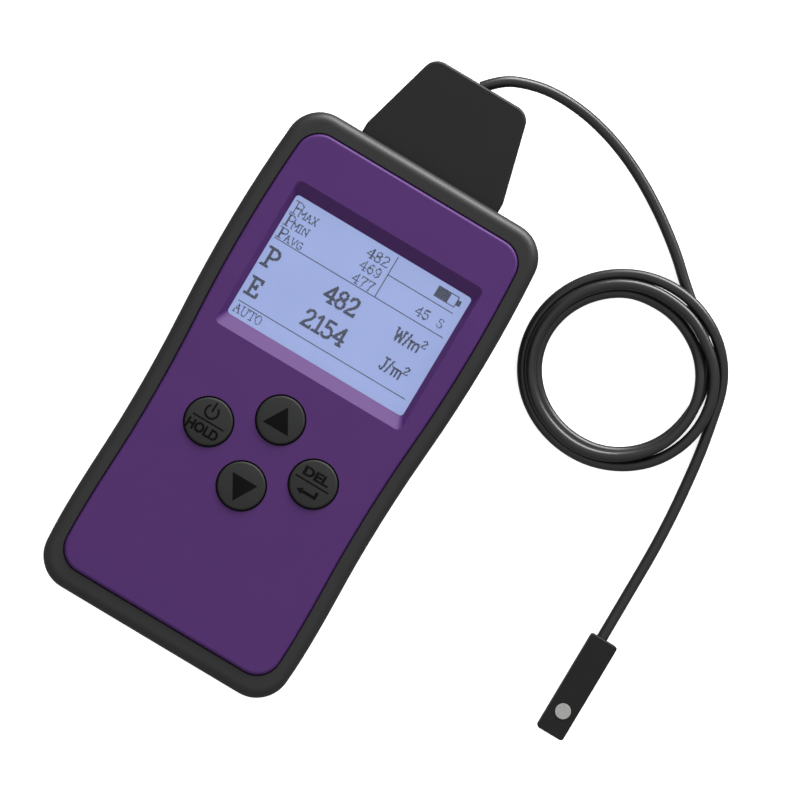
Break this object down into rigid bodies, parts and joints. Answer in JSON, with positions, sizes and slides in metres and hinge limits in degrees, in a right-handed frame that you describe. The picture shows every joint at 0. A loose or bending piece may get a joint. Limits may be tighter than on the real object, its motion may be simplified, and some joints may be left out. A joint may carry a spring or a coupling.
{
  "type": "handheld light meter",
  "caption": "Handheld ultraviolet irradiance meter in a rubber boot, with display, rubber keys, battery door and a small flat probe on a thin coiled cord.",
  "frame": {"origin": "on the surface the meter lies on, under the middle of the meter with its neck and without the cord and probe", "axes": "+Z out of the face, +Y along the meter to the neck that the cord leaves, +X to the right when the display is read"},
  "size_m": [0.1449, 0.1785, 0.0274],
  "materials": {
    "boot_rubber": "satin moulded rubber",
    "purple_abs": "fine moulded texture",
    "dark_abs": "fine moulded texture",
    "clear_acrylic": "polished",
    "lcd_glass": "polariser film",
    "light_guide": "white",
    "spring_steel": "bright",
    "green_board": "solder resist",
    "chip_epoxy": "moulded",
    "capacitor_can": "bright",
    "socket_nylon": "moulded",
    "key_silicone": "matt silicone",
    "carbon_pill": "carbon filled",
    "gold_pads": "gold flash",
    "zinc_screws": "zinc plated",
    "nickel_plate": "nickel plated",
    "battery_wrap": "shrink sleeve",
    "cord_jacket": "satin PVC",
    "probe_shell": "fine texture",
    "white_diffuser": "PTFE",
    "filter_glass": "polished"
  },
  "bodies": {
    "root": {"battery_1": "battery_wrap", "battery_2": "battery_wrap", "battery_3": "battery_wrap", "battery_4": "battery_wrap", "battery_contacts": "nickel_plate", "battery_springs": "nickel_plate", "board_capacitors": "capacitor_can", "board_chips": "chip_epoxy", "board_screws": "zinc_screws", "board_sockets": "socket_nylon", "cable_grommet": "boot_rubber", "clamp_screws": "zinc_screws", "cord_clamp": "dark_abs", "cord_coil": "cord_jacket", "cord_inner": "cord_jacket", "cord_lead": "cord_jacket", "cord_tail": "cord_jacket", "front_shell": "purple_abs", "key_contacts": "gold_pads", "keypad_mat": "key_silicone", "lcd_backlight": "light_guide", "lcd_bezel": "spring_steel", "lcd_glass": "lcd_glass", "lcd_window": "clear_acrylic", "main_board": "green_board", "neck_cover": "dark_abs", "neck_screws": "zinc_screws", "probe_board": "green_board", "probe_body": "probe_shell", "probe_cover": "probe_shell", "probe_diffuser": "white_diffuser", "probe_filter": "filter_glass", "probe_screws": "zinc_screws", "probe_sensor": "chip_epoxy", "rear_shell": "dark_abs", "rubber_boot": "boot_rubber", "sensor_board": "green_board", "sensor_chips": "chip_epoxy", "sensor_ribbon": "socket_nylon", "shell_screws": "zinc_screws"},
    "key_power": {"key_power": "key_silicone", "pill_power": "carbon_pill"},
    "key_up": {"key_up": "key_silicone", "pill_up": "carbon_pill"},
    "key_down": {"key_down": "key_silicone", "pill_down": "carbon_pill"},
    "key_enter": {"key_enter": "key_silicone", "pill_enter": "carbon_pill"},
    "battery_door": {"battery_door": "dark_abs"}
  },
  "joints": [
    {"name": "press_power", "type": "slide", "parent": "root", "child": "key_power", "axis": [0, 0, -1], "range_m": [0, 0.001], "stiffness_N_per_m": 800, "springref_m": -0.0005},
    {"name": "press_up", "type": "slide", "parent": "root", "child": "key_up", "axis": [0, 0, -1], "range_m": [0, 0.001], "stiffness_N_per_m": 800, "springref_m": -0.0005},
    {"name": "press_down", "type": "slide", "parent": "root", "child": "key_down", "axis": [0, 0, -1], "range_m": [0, 0.001], "stiffness_N_per_m": 800, "springref_m": -0.0005},
    {"name": "press_enter", "type": "slide", "parent": "root", "child": "key_enter", "axis": [0, 0, -1], "range_m": [0, 0.001], "stiffness_N_per_m": 800, "springref_m": -0.0005},
    {"name": "door_hinge", "type": "hinge", "parent": "root", "child": "battery_door", "pos_m": [0, -0.06875, 0.0025], "axis": [-1, 0, 0], "range_deg": [0, 75]}
  ]
}
